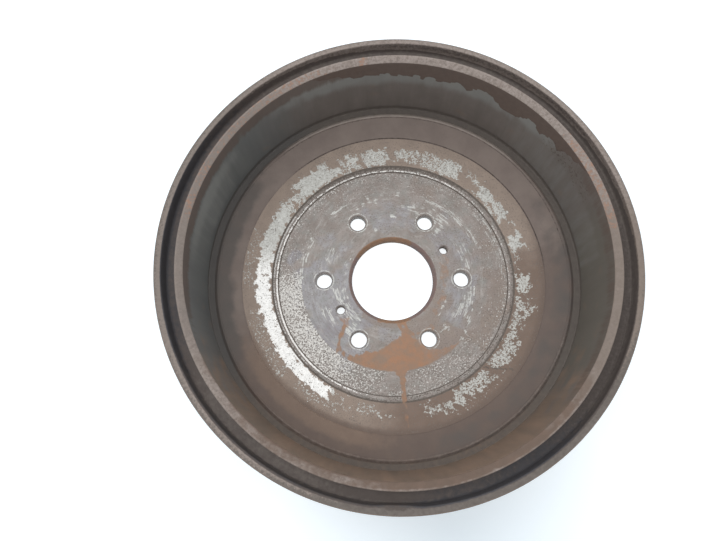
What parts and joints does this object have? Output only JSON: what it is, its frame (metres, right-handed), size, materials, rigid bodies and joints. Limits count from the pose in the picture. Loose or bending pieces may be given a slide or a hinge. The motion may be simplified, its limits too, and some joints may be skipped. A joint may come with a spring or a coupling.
{
  "type": "brake drum",
  "caption": "Round cast drum, open at one end, with a turned inner friction face, a grooved double lip at the mouth and a dished web to a drilled hub plate.",
  "frame": {"origin": "centre of the hub bore in the plane of the wheel seat, which is the drum's lowest face as it stands", "axes": "+Z along the axle axis, from the wheel seat out of the open mouth; +X through the centre of one stud hole"},
  "size_m": [0.338, 0.338, 0.092],
  "materials": {
    "cast_iron": "used grey iron, brown-grey oxide skin, bare metal patches and light rust"
  },
  "bodies": {
    "root": {"brake_drum": "cast_iron"}
  },
  "joints": []
}
